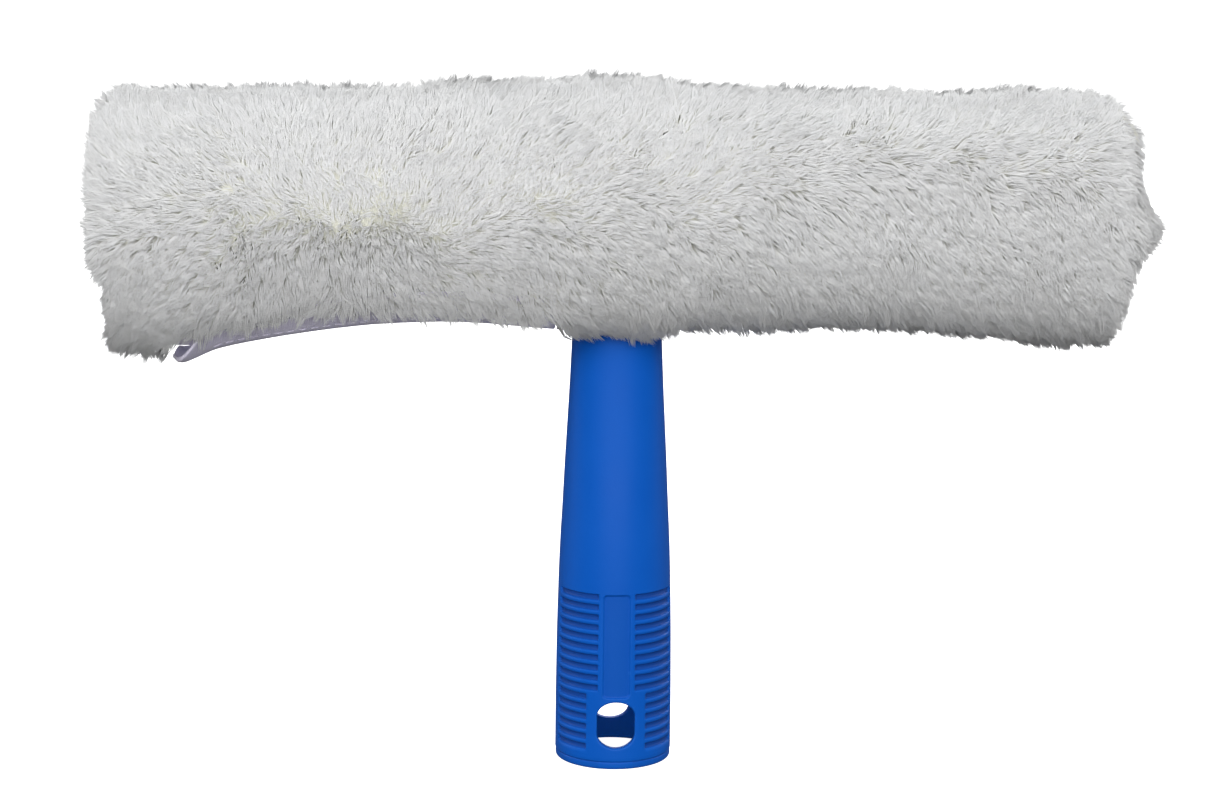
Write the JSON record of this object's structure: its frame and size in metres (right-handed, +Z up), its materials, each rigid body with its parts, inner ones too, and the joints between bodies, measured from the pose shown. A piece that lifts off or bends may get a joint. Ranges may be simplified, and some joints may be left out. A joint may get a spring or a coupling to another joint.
{
  "type": "window strip washer",
  "caption": "T-shaped window washing tool: a hollow grooved plastic handle carries a bar that a removable long-pile sleeve with a closure flap slides over.",
  "frame": {"origin": "centre of the handle's lower rim, on the rim's flat face", "axes": "+Z up along the handle towards the bar, +X along the bar towards the sleeve's closed toe, -Y the front with the handle's recessed panel"},
  "size_m": [0.2571, 0.0466, 0.1701],
  "materials": {
    "handle_plastic": "satin",
    "bar_plastic": "satin",
    "screw_steel": "satin",
    "sleeve_pile": "matte",
    "sleeve_backing": "matte",
    "woven_tape": "matte",
    "grip_tape": "matte"
  },
  "bodies": {
    "tool": {"handle": "handle_plastic", "t_bar": "bar_plastic", "fixing_screw_lower": "screw_steel", "fixing_screw_upper": "screw_steel"},
    "sleeve": {"sleeve_pile": "sleeve_pile", "sleeve_liner": "sleeve_backing", "mouth_binding": "woven_tape", "slot_binding": "woven_tape", "seam_tape": "woven_tape", "flap_hem": "woven_tape", "loop_tape": "grip_tape"},
    "flap": {"closure_flap": "woven_tape", "hook_tape": "grip_tape"}
  },
  "joints": [
    {"name": "sleeve_slide", "type": "slide", "parent": "tool", "child": "sleeve", "axis": [1, 0, 0], "range_m": [0, 0.27], "deforming": ["closure_flap"]},
    {"name": "flap_hinge", "type": "hinge", "parent": "sleeve", "child": "flap", "pos_m": [-0.05767, 0.01025, 0.1064], "axis": [0.998, 0, 0.0626], "range_deg": [0, 150]}
  ]
}
